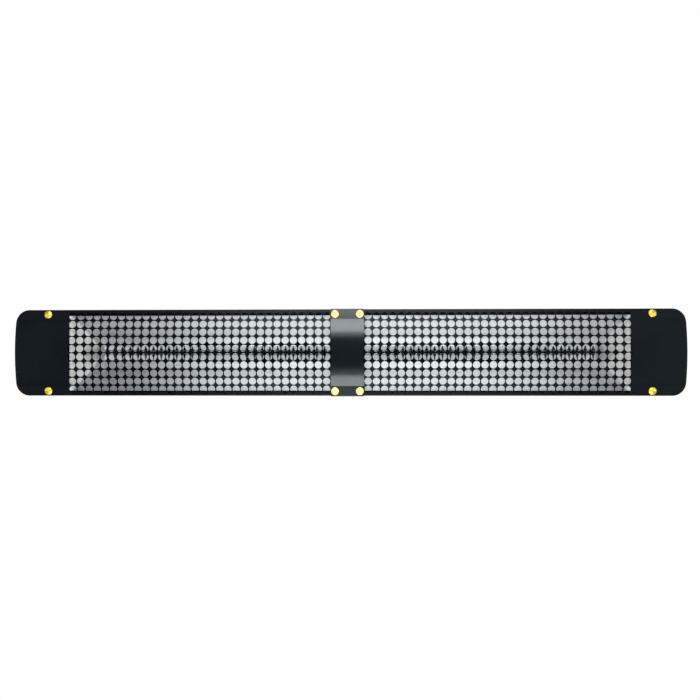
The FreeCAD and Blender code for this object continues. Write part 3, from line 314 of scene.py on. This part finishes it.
def tungsten():
    """Drawn tungsten wire, dulled by use."""
    dark, pale = (0.10, 0.10, 0.105), (0.20, 0.195, 0.19)
    wire = Surface("tungsten_wire", Metallic=1.0)
    tone = wire.patches(700.0, 3.0)
    wire.color(wire.blend(tone, dark, pale))
    wire.roughness(wire.remap(tone, 0.45, 0.60))
    wire.bump(wire.noise(2500.0), 0.006 * MM)
    return wire


def ceramic():
    """Unglazed steatite: warm white, speckled and slightly porous."""
    cream, pale, pore = (0.80, 0.77, 0.70), (0.88, 0.86, 0.81), (0.45, 0.40, 0.33)
    body = Surface("steatite_ceramic", Metallic=0.0, IOR=1.5)
    base = body.blend(body.patches(120.0, 4.0, 0.6), cream, pale)
    pores = body.remap(body.cells(1400.0), 1.0, 0.0, (0.04, 0.16))
    body.color(body.blend(pores, base, pore))
    body.uneven_gloss(0.62, 0.82, 900.0, 3.0)
    body.bump(body.noise(1600.0, 3.0), 0.04 * MM)
    return body


def stainless():
    """Mill-finish stainless sheet, rolled along X, with a faint heat tint."""
    steel, straw = (0.52, 0.52, 0.53), (0.60, 0.53, 0.43)
    sheet = Surface("mill_finish_stainless", Metallic=1.0)
    sheet.color(sheet.blend(sheet.patches(30.0, 3.0, source=SPARSE), steel, straw))
    grain = sheet.noise(800.0, 4.0, 0.6, stretch=(0.03, 1.0, 1.0))
    sheet.roughness(sheet.remap(grain, 0.26, 0.46, WIDE))
    sheet.bump(grain, 0.01 * MM)
    return sheet


def lead_sleeve():
    """Braided glass-fibre sleeve."""
    crown, gap = (0.78, 0.74, 0.64), (0.48, 0.44, 0.36)
    sleeve = Surface("glass_fibre_sleeve", Metallic=0.0)
    braid = sleeve.cells(1500.0, stretch=(1.0, 1.0, 0.6))
    sleeve.color(sleeve.blend(sleeve.remap(braid, 0.0, 1.0, (0.1, 0.6)), crown, gap))
    sleeve.roughness(sleeve.remap(braid, 0.70, 0.92))
    sleeve.bump(braid, 0.25 * MM)
    return sleeve


def silicone():
    """Matt red-brown silicone rubber."""
    dark, pale = (0.27, 0.085, 0.055), (0.36, 0.125, 0.085)
    rubber = Surface("silicone_rubber", Metallic=0.0, IOR=1.42)
    rubber.color(rubber.blend(rubber.patches(160.0, 4.0), dark, pale))
    rubber.uneven_gloss(0.58, 0.76, 700.0, 3.0)
    rubber.bump(rubber.noise(1300.0, 3.0), 0.03 * MM)
    return rubber


def brass_part():
    """Turned brass, slightly tarnished."""
    clean, tarnished = (0.80, 0.60, 0.28), (0.52, 0.37, 0.17)
    brass = Surface("turned_brass", Metallic=1.0)
    tarnish = brass.patches(180.0, 5.0, 0.65, SPARSE)
    brass.color(brass.blend(tarnish, clean, tarnished))
    brass.roughness(brass.remap(tarnish, 0.22, 0.42))
    brass.bump(brass.noise(1500.0), 0.012 * MM)
    return brass


def gland_plastic():
    """Black polyamide with a spark-eroded texture."""
    dark, pale = (0.016, 0.016, 0.018), (0.028, 0.028, 0.030)
    plastic = Surface("textured_polyamide", Metallic=0.0, IOR=1.53)
    plastic.color(plastic.blend(plastic.patches(90.0, 3.0), dark, pale))
    plastic.uneven_gloss(0.46, 0.62, 1200.0, 3.0)
    plastic.bump(plastic.noise(1600.0), 0.05 * MM)
    return plastic


def fibre_washer():
    """Pressed red fibre with visible strands."""
    dark, pale = (0.20, 0.07, 0.045), (0.33, 0.14, 0.09)
    fibre = Surface("pressed_fibre", Metallic=0.0)
    strands = fibre.noise(900.0, 4.0, 0.7, stretch=(1.0, 0.15, 1.0))
    fibre.color(fibre.blend(fibre.remap(strands, 0.0, 1.0, NARROW), dark, pale))
    fibre.roughness(fibre.remap(strands, 0.66, 0.88))
    fibre.bump(strands, 0.05 * MM)
    return fibre


FINISHES = {
    "cover_paint": cover_paint,
    "strap_paint": strap_paint,
    "gold_screw": gold_screw,
    "zinc_steel": zinc_steel,
    "housing_paint": housing_paint,
    "bright_aluminium": bright_aluminium,
    "end_wall_aluminium": end_wall_aluminium,
    "quartz": quartz,
    "tungsten": tungsten,
    "ceramic": ceramic,
    "stainless": stainless,
    "lead_sleeve": lead_sleeve,
    "silicone": silicone,
    "brass_part": brass_part,
    "gland_plastic": gland_plastic,
    "bracket_paint": bracket_paint,
    "fibre_washer": fibre_washer,
}


def dress_nodes(materials):
    """Gives every CAD node the material of its slot in the record."""
    for row in frame["record"]["subparts"]:
        node = frame["nodes"][row["node"]]
        node.data.materials.clear()
        node.data.materials.append(materials[row["material_slot"]])


# Broken edges

BROKEN_EDGE = 0.35 * MM
BROKEN_EDGE_SEGMENTS = 2
SHARP_ANGLE = math.radians(30)
SOFT_EDGED = ("centre_strap", "wall_bracket_left", "wall_bracket_right", "tilt_bracket_left",
              "tilt_bracket_right", "terminal_box", "box_cover", "end_cap_left", "end_cap_right",
              "gland_body", "gland_cap_nut", "gland_lock_nut", "pivot_bolts", "pivot_nuts",
              "lock_bolts", "lock_nuts", "bracket_bolts", "bracket_nuts", "cover_screws")


def break_edges():
    """Small chamfers that catch the light on folded sheet, nuts and bolts."""
    for name in SOFT_EDGED:
        bevel = frame["nodes"][name].modifiers.new("broken_edge", "BEVEL")
        bevel.width = BROKEN_EDGE
        bevel.segments = BROKEN_EDGE_SEGMENTS
        bevel.limit_method = "ANGLE"
        bevel.angle_limit = SHARP_ANGLE
        bevel.harden_normals = True


# Lamps

COIL_PITCH = 2.6 * MM
COIL_WIRE_R = 0.32 * MM
COIL_TURN_STEPS = 14
SUPPORT_PITCH = 35.0 * MM
SUPPORT_WIRE_R = 0.25 * MM
SUPPORT_TURNS = 2.5
SUPPORT_TURN_STEPS = 28
SUPPORT_INSET = 1.3 * MM  # the supports end this far inside the outside of the tube


def spiral(ends_x, ends_radius, middle, turns, turn_steps):
    """Points round a line along X through middle, from one x and radius to another."""
    steps = round(turns * turn_steps)
    points = []
    for k in range(steps + 1):
        angle = 2 * math.pi * k / turn_steps
        x = ends_x[0] + (ends_x[1] - ends_x[0]) * k / steps
        radius = ends_radius[0] + (ends_radius[1] - ends_radius[0]) * k / steps
        points.append((x, middle.y + radius * math.cos(angle), middle.z + radius * math.sin(angle)))
    return points


def wire(name, points, radius):
    """A round wire through points, as a mesh."""
    curve = bpy.data.curves.new(name, "CURVE")
    curve.dimensions = "3D"
    curve.bevel_depth = radius
    curve.bevel_resolution = 2
    curve.use_fill_caps = True
    spline = curve.splines.new("POLY")
    spline.points.add(len(points) - 1)
    for target, point in zip(spline.points, points):
        target.co = (*point, 1.0)
    holder = bpy.data.objects.new(name + "_curve", curve)
    mesh = bpy.data.meshes.new_from_object(holder)
    bpy.data.objects.remove(holder)
    return mesh


def joined(name, meshes):
    """One smooth object from several meshes."""
    shape = bmesh.new()
    for mesh in meshes:
        shape.from_mesh(mesh)
    merged = bpy.data.meshes.new(name)
    shape.to_mesh(merged)
    shape.free()
    for polygon in merged.polygons:
        polygon.use_smooth = True
    made = bpy.data.objects.new(name, merged)
    bpy.context.scene.collection.objects.link(made)
    return made


def wound_filament(side, material):
    """The tungsten coil and its spiral supports in place of the CAD's plain rod."""
    node = "lamp_filament_" + side
    low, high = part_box(node)
    tube_low, tube_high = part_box("lamp_tube_" + side)
    middle = (low + high) / 2
    coil_r = (high.z - low.z) / 2 - COIL_WIRE_R
    support_r = (coil_r + 2 * COIL_WIRE_R, (tube_high.z - tube_low.z) / 2 - SUPPORT_INSET)
    coil = spiral((low.x, high.x), (coil_r, coil_r), middle, round((high.x - low.x) / COIL_PITCH),
                  COIL_TURN_STEPS)
    parts = [wire("coil", coil, COIL_WIRE_R)]
    count = int((high.x - low.x) / SUPPORT_PITCH)
    spacing = (high.x - low.x) / (count + 1)
    for k in range(count):
        x = low.x + (k + 1) * spacing
        points = spiral((x, x), support_r, middle, SUPPORT_TURNS, SUPPORT_TURN_STEPS)
        parts.append(wire("support", points, SUPPORT_WIRE_R))
    filament = joined("filament_coil_" + side, parts)
    filament.data.materials.append(material)
    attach(filament, "heater")
    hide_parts(node)


# Studio

FLOOR_Z = -1.6
FLOOR_HALF = (3.2, 2.0)
FLOOR_FADE = (0.02, 0.5)  # parts of the way in from the edge where it fades in
FLOOR_TONES = ((0.80, 0.80, 0.80), (0.84, 0.84, 0.84))
BACKDROP_COLOR = (1.0, 1.0, 1.0, 1.0)
BACKDROP_STRENGTH = 1.0
ROOM_COLOR = (0.98, 1.0, 1.0, 1.0)
ROOM_STRENGTH = 0.50
CAMERA_PLACE = (0.034, -2.463, 0.0)
CAMERA_TURN = math.radians(1.962)
CAMERA_ROLL = 0.0011
SENSOR_WIDTH = 36.0
LENS = 51.32
SHIFT = (0.0315, 0.0036)
BLACK_LEVEL = 0.017
DAYLIGHT = (0.92, 1.0, 1.03)

# Softboxes in front of AIM: elevation and spread in degrees, distance, width, radiance
AIM = (0.07, -0.17, 0.0)
SOFTBOXES = {
    "top_strip": (28.8, 14.0, 2.1, 1.45, 8.3),
    "top_edge": (19.4, 4.4, 2.1, 1.45, 1.9),
    "top_ceiling": (61.0, 48.0, 1.6, 1.5, 2.3),
    "bottom_strip": (-31.0, 13.0, 2.1, 1.45, 6.0),
    "bottom_edge": (-20.6, 6.0, 2.1, 1.45, 0.7),
    "bottom_ceiling": (-61.0, 48.0, 1.6, 1.5, 2.3),
}
# Panels at both ends: place and aim at the right-hand end, size, radiances at left and right
END_PANELS = {
    "side_panel": ((2.2, -1.5, 0.0), (-0.3, -0.17, 0.0), (1.2, 1.4), (1.9, 2.8)),
    "end_fill": ((1.25, -1.5, 0.0), (0.7, -0.17, 0.0), (0.6, 2.2), (0.85, 1.0)),
    "rear_panel": ((2.4, 1.5, 1.0), (0.4, 0.0, 0.0), (1.6, 1.6), (4.0, 4.0)),
}
REAR_LOW = ((0.0, 2.2, -0.7), (0.0, 0.0, 0.0), (2.6, 0.8), 1.6)  # place, aim, size, radiance


def floor():
    """A plain pale floor well below the hanging heater, fading out towards its edges."""
    half_x, half_y = FLOOR_HALF
    mesh = bpy.data.meshes.new("studio_floor")
    corners = [(-half_x, -half_y, FLOOR_Z), (half_x, -half_y, FLOOR_Z),
               (half_x, half_y, FLOOR_Z), (-half_x, half_y, FLOOR_Z)]
    mesh.from_pydata(corners, [], [(0, 1, 2, 3)])
    made = bpy.data.objects.new("studio_floor", mesh)
    bpy.context.scene.collection.objects.link(made)
    pale = Surface("pale_floor", Roughness=0.9)
    pale.color(pale.blend(pale.noise(1.5, 3.0), *FLOOR_TONES))
    inward = pale.node("TexGradient", gradient_type="SPHERICAL")
    pale.link(pale.place((1 / half_x, 1 / half_y, 0)), inward.inputs["Vector"])
    opacity = pale.remap(inward.outputs["Fac"], 0.0, 1.0, FLOOR_FADE)
    pale.link(opacity, pale.shader.inputs["Alpha"])
    mesh.materials.append(pale.material)


def panel_light(name, place, aim, size, radiance):
    """A rectangular daylight softbox of a given radiance, facing a point."""
    light = bpy.data.lights.new(name, "AREA")
    light.shape = "RECTANGLE"
    light.size, light.size_y = size
    light.energy = radiance * math.pi * size[0] * size[1]
    light.color = DAYLIGHT
    made = bpy.data.objects.new(name, light)
    made.location = place
    direction = Vector(aim) - Vector(place)
    made.rotation_euler = direction.to_track_quat("-Z", "Y").to_euler()
    made.visible_camera = False
    bpy.context.scene.collection.objects.link(made)


def softbox(name, elevation, spread, distance, width, radiance):
    """A softbox in front of AIM, at an elevation and spread over an angle, in degrees."""
    angle = math.radians(elevation)
    place = Vector(AIM) + distance * Vector((0.0, -math.cos(angle), math.sin(angle)))
    height = 2 * distance * math.tan(math.radians(spread / 2))
    panel_light(name, place, AIM, (width, height), radiance)


def lights():
    """Softboxes above and below, panels at both ends and behind, and one low at the back."""
    for name, settings in SOFTBOXES.items():
        softbox(name, *settings)
    for end, side in enumerate((-1, 1)):
        for name, (place, aim, size, radiances) in END_PANELS.items():
            place = (side * place[0], *place[1:])
            aim = (side * aim[0], *aim[1:])
            panel_light(name, place, aim, size, radiances[end])
    panel_light("rear_low", *REAR_LOW)


def surroundings():
    """White behind the heater for the camera, a dim grey room for everything else."""
    world = bpy.data.worlds.new("studio")
    world.use_nodes = True
    tree = world.node_tree
    backdrop = tree.nodes["Background"]
    backdrop.inputs["Color"].default_value = BACKDROP_COLOR
    backdrop.inputs["Strength"].default_value = BACKDROP_STRENGTH
    room = tree.nodes.new("ShaderNodeBackground")
    room.inputs["Color"].default_value = ROOM_COLOR
    room.inputs["Strength"].default_value = ROOM_STRENGTH
    path = tree.nodes.new("ShaderNodeLightPath")
    mix = tree.nodes.new("ShaderNodeMixShader")
    tree.links.new(path.outputs["Is Camera Ray"], mix.inputs["Fac"])
    tree.links.new(room.outputs["Background"], mix.inputs[1])
    tree.links.new(backdrop.outputs["Background"], mix.inputs[2])
    tree.links.new(mix.outputs["Shader"], tree.nodes["World Output"].inputs["Surface"])
    bpy.context.scene.world = world


def camera():
    """The camera, and a plain view of its picture with slightly deeper blacks."""
    made = bpy.data.objects.new("camera", bpy.data.cameras.new("camera"))
    made.location = CAMERA_PLACE
    made.rotation_euler = (math.pi / 2, CAMERA_ROLL, CAMERA_TURN)
    made.data.sensor_width = SENSOR_WIDTH
    made.data.lens = LENS
    made.data.shift_x, made.data.shift_y = SHIFT
    bpy.context.scene.collection.objects.link(made)
    bpy.context.scene.camera = made
    view = bpy.context.scene.view_settings
    view.view_transform = "Standard"
    view.use_curve_mapping = True
    view.curve_mapping.black_level = (BLACK_LEVEL, BLACK_LEVEL, BLACK_LEVEL)
    view.curve_mapping.update()


made_materials = {slot: build().material for slot, build in FINISHES.items()}
dress_nodes(made_materials)
break_edges()
for heater_side in ("left", "right"):
    wound_filament(heater_side, made_materials["tungsten"])
floor()
surroundings()
lights()
camera()
